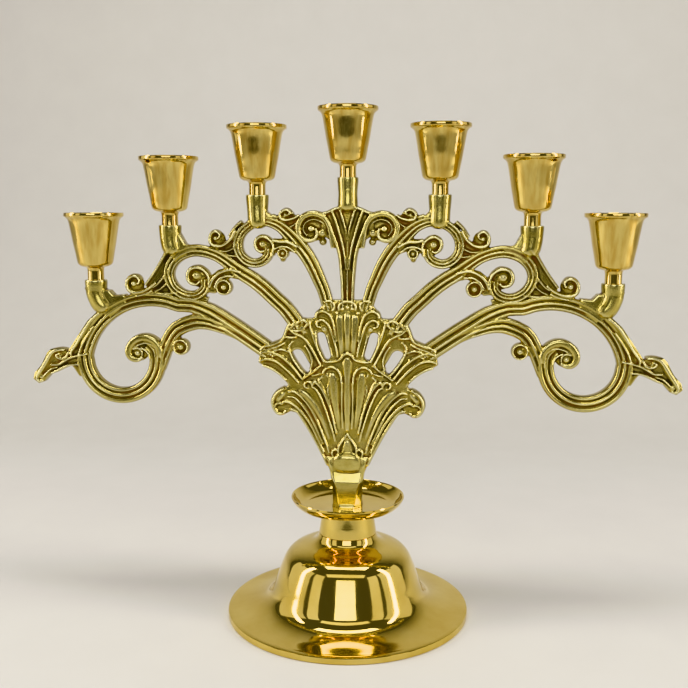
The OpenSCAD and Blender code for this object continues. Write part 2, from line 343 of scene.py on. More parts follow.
def latheTree():
    tree, given = newTree("lathe", {"Segments": "Int", "Pitch": "Float", "Thread Depth": "Float",
                                    "Crest Radius": "Float", "Material": "Material"})
    fullTurn = 2 * math.pi
    profile = given["Geometry"]
    count = addNode(tree, "GeometryNodeAttributeDomainSize", {"Geometry": profile},
                    component="CURVE").outputs["Point Count"]
    columns = addNode(tree, "ShaderNodeMath", [given["Segments"], 1.0], operation="ADD")
    grid = addNode(tree, "GeometryNodeMeshGrid", {"Vertices X": columns, "Vertices Y": count})
    # the column of the grid gives the angle, the row gives the point of the profile
    index = addNode(tree, "GeometryNodeInputIndex")
    nudged = addNode(tree, "ShaderNodeMath", [index, 0.5], operation="ADD")
    share = addNode(tree, "ShaderNodeMath", [nudged, count], operation="DIVIDE")
    column = addNode(tree, "ShaderNodeMath", [share], operation="FLOOR")
    before = addNode(tree, "ShaderNodeMath", [column, count], operation="MULTIPLY")
    row = addNode(tree, "ShaderNodeMath", [index, before], operation="SUBTRACT")
    turn = addNode(tree, "ShaderNodeMath", [column, given["Segments"]], operation="DIVIDE")
    angle = addNode(tree, "ShaderNodeMath", [turn, fullTurn], operation="MULTIPLY")
    place = addNode(tree, "GeometryNodeInputPosition")
    sample = addNode(tree, "GeometryNodeSampleIndex", {"Geometry": profile, "Value": place, "Index": row},
                     data_type="FLOAT_VECTOR")
    across, _, height = addNode(tree, "ShaderNodeSeparateXYZ", [sample]).outputs
    # the thread: a triangle wave in height that climbs one pitch in a turn
    climb = addNode(tree, "ShaderNodeMath", [height, given["Pitch"]], operation="DIVIDE")
    gone = addNode(tree, "ShaderNodeMath", [angle, fullTurn], operation="DIVIDE")
    turns = addNode(tree, "ShaderNodeMath", [climb, gone], operation="SUBTRACT")
    phase = addNode(tree, "ShaderNodeMath", [turns], operation="FRACT")
    doubled = addNode(tree, "ShaderNodeMath", [phase, 2.0], operation="MULTIPLY")
    centred = addNode(tree, "ShaderNodeMath", [doubled, 1.0], operation="SUBTRACT")
    wave = addNode(tree, "ShaderNodeMath", [centred], operation="ABSOLUTE")
    crest = addNode(tree, "ShaderNodeMath", [given["Crest Radius"], 0.01 * mm], operation="SUBTRACT")
    onCrest = addNode(tree, "ShaderNodeMath", [across, crest], operation="GREATER_THAN")
    groove = addNode(tree, "ShaderNodeMath", [wave, onCrest], operation="MULTIPLY")
    cut = addNode(tree, "ShaderNodeMath", [groove, given["Thread Depth"]], operation="MULTIPLY")
    radius = addNode(tree, "ShaderNodeMath", [across, cut], operation="SUBTRACT")
    flat = addNode(tree, "ShaderNodeCombineXYZ", [radius, 0.0, height])
    turned = addNode(tree, "ShaderNodeVectorRotate", {"Vector": flat, "Angle": angle},
                     rotation_type="Z_AXIS")
    shaped = addNode(tree, "GeometryNodeSetPosition", {"Geometry": grid, "Position": turned})
    closed = addNode(tree, "GeometryNodeMergeByDistance", {"Geometry": shaped, "Distance": 0.002 * mm})
    soft = addNode(tree, "GeometryNodeSetShadeSmooth", {"Geometry": closed, "Shade Smooth": True})
    fold = addNode(tree, "GeometryNodeInputMeshEdgeAngle").outputs["Unsigned Angle"]
    sharp = addNode(tree, "ShaderNodeMath", [fold, math.radians(38)], operation="GREATER_THAN")
    edges = addNode(tree, "GeometryNodeSetShadeSmooth",
                    {"Geometry": soft, "Selection": sharp, "Shade Smooth": False}, domain="EDGE")
    closeTree(tree, edges, given["Material"])
    return tree


lathe = latheTree()


def turnedPart(name, profile, centre, material, segments=96, pitch=1.0, threadDepth=0.0, crest=0.0):
    # profile is a list of (radius, height) in millimetres above the centre
    line = [(r * mm, 0, z * mm, 1) for r, z in profile]
    source = curveObject(name, [line])
    useTree(source, lathe, {"Segments": segments, "Pitch": pitch * mm, "Thread Depth": threadDepth * mm,
                            "Crest Radius": crest * mm, "Material": material})
    made = plainMesh(source, name)
    made.data.transform(Matrix.Translation(centre))
    return made


def bodyOf(node):
    return next(b for b, nodes in frame["record"]["behaviour"]["bodies"].items() if node in nodes)


def middleOf(node):
    low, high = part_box(node)
    return Vector(((low.x + high.x) / 2, (low.y + high.y) / 2, low.z))


def sizesOf(node):
    # outer radius and height of a round node, in millimetres
    low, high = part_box(node)
    return (high.x - low.x) / 2 / mm, (high.z - low.z) / mm


def hand(piece, node):
    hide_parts(node)
    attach(piece, bodyOf(node))


# the spun bell foot

foot = {
    "sheet": 1.5,
    "bandHeight": 4.0,
    "bandThickness": 1.8,
    "boreRadius": 3.3,
    "segments": 160,
}


def makeFoot():
    rim, top = sizesOf("foot")
    thick, high, bore = foot["sheet"], foot["bandHeight"], foot["boreRadius"]
    outside = bend([(17, top), (18.6, top - 3.6), (22, top - 5.9), (28, top - 7.5), (33, top - 9.8),
                    (36.6, top - 13.5), (39.2, top - 19), (41.6, 23), (43.8, 16.5), (46.4, 11.2),
                    (51, 7.4), (59, 5.1), (rim - 3, high)], 6)
    inside = [(r - thick * 0.75, max(z - thick, 1.2)) for r, z in reversed(outside)][4:]
    band = [(rim - 0.8, high), (rim - 0.2, high - 0.3), (rim, high - 0.9), (rim, 0.5), (rim - 0.4, 0),
            (rim - foot["bandThickness"], 0), (rim - foot["bandThickness"], 2.4)]
    profile = [(bore, top), *outside, *band, *inside, (bore, top - thick), (bore, top)]
    made = turnedPart("spunFoot", profile, Vector((0, 0, 0)), spunBrass, foot["segments"])
    hand(made, "foot")


makeFoot()


collar = {"boreRadius": 3.3, "edge": 0.35, "taper": 2.1, "segments": 128}


def makeCollar():
    base, tall = sizesOf("collar")
    top, edge, bore = base - collar["taper"], collar["edge"], collar["boreRadius"]
    profile = [(bore, 0), (base - edge, 0), (base, edge), (base - 0.05, 1.0), (base - 0.9, 6.5),
               (top + 0.15, tall - 1.6), (top, tall - edge), (top - edge, tall), (bore, tall), (bore, 0)]
    made = turnedPart("turnedCollar", profile, middleOf("collar"), spunBrass, collar["segments"])
    hand(made, "collar")


makeCollar()


pan = {"sheet": 1.2, "boreRadius": 3.3, "segments": 128}


def makePan():
    rim, tall = sizesOf("drip_pan")
    sheet, bore = pan["sheet"], pan["boreRadius"]
    lip = rim - sheet
    upper = bend([(lip - 7.6, sheet), (lip - 4.6, 1.9), (lip - 2.6, 3.5), (lip - 1, 5.3),
                  (lip, tall - 0.3)], 5)
    under = bend([(rim - 0.05, tall - 0.6), (rim - 0.9, 4.7), (lip - 1.6, 2.4), (lip - 4.0, 0.7),
                  (lip - 7.2, 0)], 5)
    profile = [(bore, sheet), *upper, (lip + 0.35, tall), (rim - 0.35, tall), *under, (bore, 0),
               (bore, sheet)]
    made = turnedPart("dripPan", profile, middleOf("drip_pan"), spunBrass, pan["segments"])
    hand(made, "drip_pan")


makePan()
print("foot, collar and pan turned")


# the seven candle cups

cup = {
    "count": 7,
    "height": 39.0,
    "lipRadius": 17.1,
    "floor": 10.7,
    "studHole": 2.3,
    "studHoleDepth": 6.3,
    "segments": 96,
}


def makeCups():
    tall, lip, floor = cup["height"], cup["lipRadius"], cup["floor"]
    shoulder = bend([(4.75, 0), (4.7, 3), (4.8, 6.0), (5.6, 7.3), (8.1, 8.0), (9.8, 9.3), (10.5, 11.6),
                     (11.3, 16), (12.3, 21), (13.3, 27), (14.4, 33.2), (15.1, 35.2), (16.2, 36.3)], 5)
    rimBand = [(lip - 0.15, 36.8), (lip, 37.2), (lip, tall - 0.5), (lip - 0.15, tall - 0.15),
               (lip - 0.5, tall), (14.6, tall), (14.3, tall - 0.3)]
    bowl = bend([(14.1, 37), (13.5, 33.6), (11.6, 23), (9.3, 12.4), (8.2, floor + 0.2), (6, floor)], 5)
    hole, deep = cup["studHole"], cup["studHoleDepth"]
    bore = [(0, deep), (hole, deep), (hole, 0.3), (hole + 0.3, 0)]
    profile = [*bore, *shoulder, *rimBand, *bowl, (0, floor)]
    for number in range(1, cup["count"] + 1):
        node = f"candle_cup_{number}"
        made = turnedPart(f"candleCup{number}", profile, middleOf(node), cupBrass, cup["segments"])
        hand(made, node)


makeCups()
print("cups turned")


# studs, tie rod, washer and nut

fasteners = {
    "studPitch": 0.7,
    "rodPitch": 1.0,
    "chamfer": 0.4,
    "stepsPerPitch": 6,
    "depthPerPitch": 0.54,
    "segments": 32,
    "washerBore": 3.3,
    "washerSegments": 64,
    "nutFlats": 10.0,
    "nutBore": 2.6,
    "nutPoints": 72,
}


def threadedBar(name, node, pitch):
    radius, tall = sizesOf(node)
    c = fasteners["chamfer"]
    steps = int((tall - 2 * c) / pitch * fasteners["stepsPerPitch"])
    wall = [(radius, c + (tall - 2 * c) * i / steps) for i in range(steps + 1)]
    profile = [(0, 0), (radius - 1.6 * c, 0), *wall, (radius - 1.6 * c, tall), (0, tall)]
    made = turnedPart(name, profile, middleOf(node), zincSteel, fasteners["segments"], pitch,
                      fasteners["depthPerPitch"] * pitch, radius)
    hand(made, node)


def makeWasher():
    r, t = sizesOf("washer")
    bore = fasteners["washerBore"]
    profile = [(bore, 0), (r - 0.15, 0), (r, 0.25), (r, t - 0.4), (r - 0.3, t - 0.1), (r - 0.7, t),
               (bore + 0.2, t), (bore, t - 0.2), (bore, 0)]
    made = turnedPart("plainWasher", profile, middleOf("washer"), zincSteel, fasteners["washerSegments"])
    hand(made, "washer")


def makeNut():
    # six flats, with the corners turned off by a shallow cone at both ends
    base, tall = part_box("hex_nut")[0].z, sizesOf("hex_nut")[1]
    flats, bore, count = fasteners["nutFlats"] / 2, fasteners["nutBore"], fasteners["nutPoints"]
    turns = [2 * math.pi * i / count for i in range(count)]
    corners = [flats / math.cos((a + math.pi / 6) % (math.pi / 3) - math.pi / 6) for a in turns]
    rings = []
    for z, beyond in ((0, 0), (0.35, 0.6), (0.7, 1.2), (tall - 0.7, 1.2), (tall - 0.35, 0.6), (tall, 0)):
        rings.append([(min(corner, flats + beyond * 0.7 - 0.05), z) for corner in corners])
    for z, r in ((tall, bore + 0.4), (tall - 0.5, bore), (0.5, bore), (0, bore + 0.4)):
        rings.append([(r, z)] * count)
    work = bmesh.new()
    made = [[work.verts.new((r * math.cos(a) * mm, r * math.sin(a) * mm, base + z * mm))
             for a, (r, z) in zip(turns, ring)] for ring in rings]
    for first, second in zip(made, made[1:] + made[:1]):
        skinBetween(work, first, second)
    hand(builtMesh("hexNut", work, zincSteel), "hex_nut")


for number in range(1, cup["count"] + 1):
    threadedBar(f"threadedStud{number}", f"cup_stud_{number}", fasteners["studPitch"])
threadedBar("tieRod", "tie_rod", fasteners["rodPitch"])
makeWasher()
makeNut()
print("fasteners made")


# the casting: moulded strands, plates and knobs run together and softened as by the mould

casting = {
    "voxel": 0.42,
    "shellVoxel": 0.46,
    "softening": 2,
    "reliefBlur": 6,
    "reliefDepth": 0.25,
    "mostTriangles": 190000,
    "strandStep": 0.8,
    "scrollHalf": 4.0,
    "shellHalf": 3.2,
    "webHalf": 2.2,
    "ridgeHalf": 4.6,
    "ridgeWidth": 1.6,
    "postSegments": 48,
}

# cross-sections, as (across, height) with 1 at the outer edge of a strand and -1 at the inner
threeBands = [(1.0, 0.55), (0.93, 0.78), (0.80, 0.93), (0.62, 0.97), (0.46, 0.88), (0.36, 0.70),
              (0.28, 0.64), (0.20, 0.70), (0.08, 0.92), (-0.06, 1.0), (-0.20, 0.92), (-0.31, 0.70),
              (-0.39, 0.62), (-0.47, 0.70), (-0.58, 0.86), (-0.72, 0.90), (-0.88, 0.78), (-1.0, 0.52)]
halfRound = [(math.cos(math.pi * i / 12), math.sin(math.pi * i / 12)) for i in range(1, 12)]
roundBar = [(1.0, 0.02), *halfRound, (-1.0, 0.02)]
softBand = [(1.0, 0.35), (0.9, 0.68), (0.7, 0.9), (0.4, 1.0), (0, 1.0), (-0.4, 1.0), (-0.7, 0.9),
            (-0.9, 0.68), (-1.0, 0.35)]


def strandTree():
    tree, given = newTree("strands", {"Profile": "Object", "Half Thickness": "Float",
                                      "Full Half Width": "Float", "Step": "Float",
                                      "Material": "Material"})
    line = addNode(tree, "GeometryNodeResampleCurve",
                   {"Curve": given["Geometry"], "Length": given["Step"]}, mode="LENGTH")
    upright = addNode(tree, "GeometryNodeSetCurveNormal", {"Curve": line, "Normal": (0, -1, 0)},
                      mode="FREE")
    radius = addNode(tree, "GeometryNodeInputRadius")
    kept = addNode(tree, "GeometryNodeStoreNamedAttribute",
                   {"Geometry": upright, "Name": "halfWidth", "Value": radius})
    section = addNode(tree, "GeometryNodeObjectInfo", {"Object": given["Profile"]}).outputs["Geometry"]
    swept = addNode(tree, "GeometryNodeCurveToMesh",
                    {"Curve": kept, "Profile Curve": section, "Scale": radius, "Fill Caps": True})
    # a narrow end of a strand is thinner too, by the root of its share of the full width
    half = addNode(tree, "GeometryNodeInputNamedAttribute", {"Name": "halfWidth"}).outputs["Attribute"]
    share = addNode(tree, "ShaderNodeMath", [half, given["Full Half Width"]], operation="DIVIDE",
                    use_clamp=True)
    eased = addNode(tree, "ShaderNodeMath", [share, 0.5], operation="POWER")
    deep = addNode(tree, "ShaderNodeMath", [eased, given["Half Thickness"]], operation="MULTIPLY")
    stretch = addNode(tree, "ShaderNodeMath", [deep, half], operation="DIVIDE")
    place = addNode(tree, "GeometryNodeInputPosition")
    x, y, z = addNode(tree, "ShaderNodeSeparateXYZ", [place]).outputs
    depth = addNode(tree, "ShaderNodeMath", [y, stretch], operation="MULTIPLY")
    moved = addNode(tree, "ShaderNodeCombineXYZ", [x, depth, z])
    shaped = addNode(tree, "GeometryNodeSetPosition", {"Geometry": swept, "Position": moved})
    closeTree(tree, shaped, given["Material"])
    return tree


def reliefTree():
    # stores how far each point stands out from its smoothed surroundings
    tree, given = newTree("relief", {"Blur": "Int", "Depth": "Float", "Material": "Material"})
    place = addNode(tree, "GeometryNodeInputPosition")
    smooth = addNode(tree, "GeometryNodeBlurAttribute", {"Value": place, "Iterations": given["Blur"]},
                     data_type="FLOAT_VECTOR")
    away = addNode(tree, "ShaderNodeVectorMath", [place, smooth], operation="SUBTRACT")
    normal = addNode(tree, "GeometryNodeInputNormal")
    out = addNode(tree, "ShaderNodeVectorMath", [away, normal], operation="DOT_PRODUCT").outputs["Value"]
    level = addNode(tree, "ShaderNodeMath", [out, given["Depth"]], operation="DIVIDE")
    kept = addNode(tree, "GeometryNodeStoreNamedAttribute",
                   {"Geometry": given["Geometry"], "Name": "relief", "Value": level})
    closeTree(tree, kept, given["Material"])
    return tree


strands = strandTree()
relief = reliefTree()


def sectionObject(name, half):
    # the front half is mirrored to the back; depth runs along X and the outer edge is at -Y
    loop = [(h, -u, 0, 1) for u, h in half] + [(-h, -u, 0, 1) for u, h in reversed(half)]
    return curveObject(name, [loop], closed=True)


halves = {"threeBands": threeBands, "roundBar": roundBar, "softBand": softBand}
sections = {name: sectionObject(name, half) for name, half in halves.items()}


def sweep(name, lines, section, half, fullWidth, steps=4):
    # lines of points (x, z, width) in millimetres
    paths = [[(x * mm, 0, z * mm, w * mm / 2) for x, z, w in bend(line, steps)] for line in lines]
    source = curveObject(name, paths)
    useTree(source, strands, {"Profile": sections[section], "Half Thickness": half * mm,
                              "Full Half Width": fullWidth * mm / 2, "Step": casting["strandStep"] * mm,
                              "Material": castBrass})
    return plainMesh(source, name, 0.001 * mm)


def plate(name, outlines, half, edge=0.8):
    # a flat sheet with the given outlines (x, z), rounded at the edges; inner outlines are holes
    data = bpy.data.curves.new(name, "CURVE")
    data.dimensions = "2D"
    data.fill_mode = "BOTH"
    data.extrude = (half - edge) * mm
    data.bevel_depth = edge * mm
    data.bevel_resolution = 2
    data.offset = -edge * mm
    for outline in outlines:
        spline = data.splines.new("POLY")
        spline.points.add(len(outline) - 1)
        for point, (x, z) in zip(spline.points, outline):
            point.co = (x * mm, z * mm, 0, 1)
        spline.use_cyclic_u = True
    made = plainMesh(placed(name, data), name, 0.001 * mm)
    for vertex in made.data.vertices:
        x, z, y = vertex.co
        vertex.co = (x, -y, z)
    return made


def plates(sheets):
    # each sheet has its half thickness, its rounding and its outline
    return [plate(name, [outline], half, edge) for name, (half, edge, outline) in sheets.items()]


def knobs(name, places):
    # flattened balls: (x, z, radius, half depth) in millimetres
    work = bmesh.new()
    for x, z, radius, deep in places:
        made = bmesh.ops.create_uvsphere(work, u_segments=40, v_segments=24, radius=radius * mm)
        for vertex in made["verts"]:
            vertex.co.y *= deep / radius
            vertex.co += Vector((x * mm, 0, z * mm))
    return builtMesh(name, work)


def loft(name, rings):
    # a closed skin over rings of corners, capped at both ends
    work = bmesh.new()
    loops = [[work.verts.new(Vector(p) * mm) for p in ring] for ring in rings]
    for first, second in zip(loops, loops[1:]):
        skinBetween(work, first, second)
    work.faces.new(reversed(loops[0]))
    work.faces.new(loops[-1])
    return builtMesh(name, work)


def spiral(x, z, start, turn, radii, widths):
    # a curl round (x, z): starts at an angle, turns that many degrees while the radius closes in
    count = 14
    out = []
    for i in range(count + 1):
        t = i / count
        a = math.radians(start + turn * t)
        r = radii[0] + (radii[1] - radii[0]) * t
        out.append((x + r * math.cos(a), z + r * math.sin(a), widths[0] + (widths[1] - widths[0]) * t))
    return out


def bothSides(lines):
    return lines + [[(-p[0], *p[1:]) for p in reversed(line)] for line in lines]


def ridgesOf(name, lines, half=casting["ridgeHalf"]):
    # narrow ridges that all stand equally high
    return sweep(name, lines, "roundBar", half, casting["ridgeWidth"], 3)


def eyes(name, places):
    # a shallow disc with a raised rim and a low dome in the middle: (x, z, radius) in millimetres
    rims = [spiral(x, z, 30, 352, (r - 0.9, r - 0.9), (1.9, 1.9)) for x, z, r in places]
    discs = [(x, z, r - 0.5, 3.0) for x, z, r in places]
    domes = [(x, z, r * 0.58, 4.1) for x, z, r in places]
    return [ridgesOf(name + "Rims", rims, 4.4), knobs(name + "Domes", discs + domes)]


def postTop(name, x, z, radius):
    # the drilled top of a post
    hole, deep = posts["hole"], posts["holeDepth"]
    profile = [(hole, -deep), (hole, 0), (radius - 0.4, 0), (radius, -0.4), (radius - 0.1, -3),
               (radius - 0.5, -8), (hole, -8), (hole, -deep)]
    return turnedPart(name, profile, Vector((x * mm, 0, z * mm)), castBrass, casting["postSegments"])


def trianglesOf(piece):
    return sum(len(face.vertices) - 2 for face in piece.data.polygons)


def cast(name, parts, voxel):
    # one closed skin over all the parts, softened, with its relief stored for the tarnish
    made = joined(name + "Rough", parts)
    skin = made.modifiers.new("oneSkin", "REMESH")
    skin.mode = "VOXEL"
    skin.voxel_size = voxel * mm
    skin.use_smooth_shade = True
    soft = made.modifiers.new("softened", "SMOOTH")
    soft.factor = 0.5
    soft.iterations = casting["softening"]
    useTree(made, relief, {"Blur": casting["reliefBlur"], "Depth": casting["reliefDepth"] * mm,
                           "Material": castBrass})
    piece = plainMesh(made, name)
    count = trianglesOf(piece)
    if count > casting["mostTriangles"]:
        thin = piece.modifiers.new("thinned", "DECIMATE")
        thin.ratio = casting["mostTriangles"] / count
        piece = plainMesh(piece, name)
    print(name, "has", trianglesOf(piece), "triangles")
    return piece


posts = {
    "x": [0, 52, 103.5, 149],
    "z": [257, 247.3, 230, 198],
    "radius": [6.0, 6.6, 6.6, 6.6],
    "rootShift": [0, -0.5, -2.0, -5.0],
    "rootRadius": [5.7, 5.9, 5.6, 5.8],
    "length": [19, 19, 17, 19],
    "hole": 2.3,
    "holeDepth": 7.0,
}


def makePost(i):
    # posts are numbered outwards from the middle
    x, z, r = posts["x"][i], posts["z"][i], posts["radius"][i]
    root, shift, long = posts["rootRadius"][i], posts["rootShift"][i], posts["length"][i]
    body = [(x, z - 7.1, 2 * r - 0.8), (x + shift * 0.1, z - 9.5, 2 * r - 1.1),
            (x + shift * 0.45, z - 13.5, r + root - 0.4), (x + shift * 0.8, z - long + 3.4, 2 * root),
            (x + shift, z - long + 1.2, 1.7 * root), (x + shift * 1.1, z - long - 0.4, 4)]
    stem = sweep(f"postStem{i}", [body], "roundBar", r * 0.98, 2 * r)
    return [postTop(f"postTop{i}", x, z, r), stem]


endScroll = {
    "arm": [(44, 155, 10), (47, 157.5, 10.6), (60, 166.5, 10.8), (70, 173, 10.8), (80, 179.3, 10.2),
            (91, 183.5, 9)],
    "arch": (115.3, 144.3, 42.6, 112, 12, 8.8),
    "ring": (135, 151, 22, -4, -176, 9.4),
    "hook": [(113.4, 154.6, 8.8), (115, 158.2, 8.4), (118, 160.6, 7.6)],
    "lip": [(110.6, 152.6, 2.6), (110.8, 157.4, 3.6), (113.6, 161.6, 4.4), (118.4, 164, 4.8),
            (123.4, 163.6, 5), (127.4, 161, 5), (129.7, 157, 5), (129.4, 153.4, 4.6),
            (126.8, 151.2, 4), (123.6, 151.2, 3), (121.4, 152.8, 2)],
    "innerArch": [(50, 156.4, 2.6), (58, 161.8, 4), (66, 166.8, 5.4), (74, 170.4, 6.6), (81, 172.8, 7.8),
                  (86, 173.6, 8.6), (91, 173.4, 9.4), (100.5, 169.5, 9.2), (106, 162, 8.8),
                  (109.5, 153, 8), (111.5, 145, 6)],
}


def makeEndScroll():
    e = endScroll
    arch = arcPoints(*e["arch"], 12)
    ring = arcPoints(*e["ring"], 16)
    moulded = [e["arm"] + arch + ring + e["hook"], e["innerArch"]]
    parts = [sweep("endBands", moulded, "threeBands", casting["scrollHalf"], 7.0, 2),
             sweep("endLip", [e["lip"]], "softBand", 4.7, 3.0, 3)]
    ridges = [
        # inner ridge of the hook and the rim round its eye
        [(112.2, 150, 1.6), (112.4, 156.4, 2), (114.8, 159.8, 2), (118.6, 161, 2), (122.2, 160.4, 2),
         (125.4, 158.8, 2), (126.8, 157, 1.8)],
        [(117, 151.6, 1.8), (117.8, 155, 1.8), (120.2, 157.2, 1.8), (122.4, 158.2, 1.6)],
        [(126.8, 157.4, 1.8), (123.6, 157.8, 1.8), (121.6, 156, 1.8), (121.4, 153.6, 1.6)],
        # volute on the top edge
        [(112, 196.6, 2.4), (116, 193.4, 2.8), (121, 191.2, 3), (126, 190.9, 3.2), (129, 193, 3.2),
         (129.4, 197, 3), (127, 200, 3), (123.6, 200.2, 2.6), (121.8, 197.8, 2.2), (122.8, 195.4, 1.8)],
        [(114, 192, 1.6), (119, 189.8, 1.8), (124, 188.6, 1.8)],
        # the end leaf: edge band, curl and veins
        [(168.6, 156, 2.2), (172, 156.2, 2.8), (175.6, 155.2, 3.6), (177.8, 153, 4.4),
         (179.8, 149.8, 4.6), (182.4, 145.8, 4.6), (185, 142, 4.2), (186.4, 139.2, 3.4),
         (185.2, 137.1, 2.8), (182.6, 137.8, 2.2)],
        [(166.2, 155.2, 2.2), (167.8, 152.2, 2.4), (170.6, 150.9, 2.6), (173.4, 151.6, 2.6),
         (173.8, 153.2, 2.2), (172, 154, 1.8)],
        [(155, 154, 1.8), (161, 152.8, 2.2), (166, 151.2, 2.2), (169.6, 149.2, 2.4), (172.8, 147.4, 2.4),
         (177.4, 147.2, 2)],
        [(160.6, 147.6, 1.8), (166, 147.2, 2), (170.6, 145.4, 2.2), (174.6, 143.4, 2), (178, 142, 1.6)],
        [(174, 145.6, 1.2), (178, 144.2, 1.6), (181, 141.6, 1.6), (182.4, 140.2, 1.4)],
        # edge of the strap that carries the leaf
        [(146.6, 178.4, 2.4), (152.4, 173.4, 3), (157, 166.6, 3.2), (161.4, 159.6, 3), (164.4, 155.6, 2.6),
         (165, 153, 2)],
        [(150.4, 170.6, 1.4), (155, 164, 1.8), (158.6, 157.6, 1.8), (160, 153.6, 1.6)],
    ]
    parts.append(ridgesOf("endRidges", ridges))
    parts.append(knobs("endKnobs", [
        (124.8, 157, 7.4, 3.2), (124.4, 154.8, 2.9, 4.2), (125.4, 195.6, 5.6, 2.9),
        (125.4, 196, 2.7, 4.2), (183.6, 139.8, 2.8, 4.2), (171.6, 152.6, 1.4, 4.0)]))
    parts += eyes("endBud", [(98.4, 158.8, 5.0)])
    parts += plates({
        "endStrap": (3.0, 0.6, [
            (156, 151), (156, 143), (160.5, 140), (165.5, 147.6), (167.4, 155), (160.6, 165),
            (154.6, 173.6), (148.6, 179), (144, 177), (151.6, 166)]),
        "endLeaf": (3.1, 0.8, [
            (160, 157.5), (168.1, 155.2), (170.6, 156.6), (173.8, 157.3), (178, 156.4), (180.2, 154.2),
            (184, 146.8), (188.4, 142), (189.4, 138.2), (185.8, 135.4), (182, 137.2), (178.2, 141.4),
            (170.8, 145.9), (160, 149.3)]),
        "budNeck": (3.2, 0.8, [
            (108, 163), (100, 161.6), (98, 160.4), (98, 157.6), (101, 156.6), (109, 156)]),
        "postFoot": (3.6, 0.8, [
            (155.3, 193), (153.8, 190.4), (151.5, 186), (149, 179.6), (140, 176), (130, 184), (131, 189.6),
            (137.6, 189), (140.3, 192)]),
    })
    parts += makePost(3)
    return cast("rightEndScroll", parts, casting["voxel"])


upperScrolls = {
    "second": [(28, 172, 9), (31, 175.5, 9.4), (36, 182, 9.3), (42, 187.6, 9.2), (48.6, 193.8, 9.2),
               (55.5, 199, 9), (62.5, 203.2, 8.5), (70, 208.8, 7.5), (76, 212.5, 7), (83, 214.8, 7),
               (90, 215.3, 7.2), (97, 213, 7), (102.5, 208, 6.5), (104.6, 201.2, 6), (102.3, 194.7, 5.9),
               (97, 190.2, 5.8), (91, 189, 5.8), (85.6, 190.8, 6), (82.8, 194.6, 5.8), (83, 199, 5.6)],
    "third": [(10.5, 181, 7), (11.5, 184.5, 7.2), (13.8, 192.6, 7.4), (16.5, 199, 7.8), (20, 206.7, 8.3),
              (24, 213.5, 8.6), (29, 219.8, 8.8), (34.5, 225.7, 7.8), (40, 230, 6.5), (47, 232.2, 5.9),
              (54, 231, 5.7), (60, 227, 5.6), (63.1, 221.3, 5.6), (62.8, 214.7, 5.4), (59, 210, 5.4),
              (54, 208.2, 5.5), (49, 209.5, 5.6), (45.8, 212.8, 5.4), (45.2, 217, 5)],
}


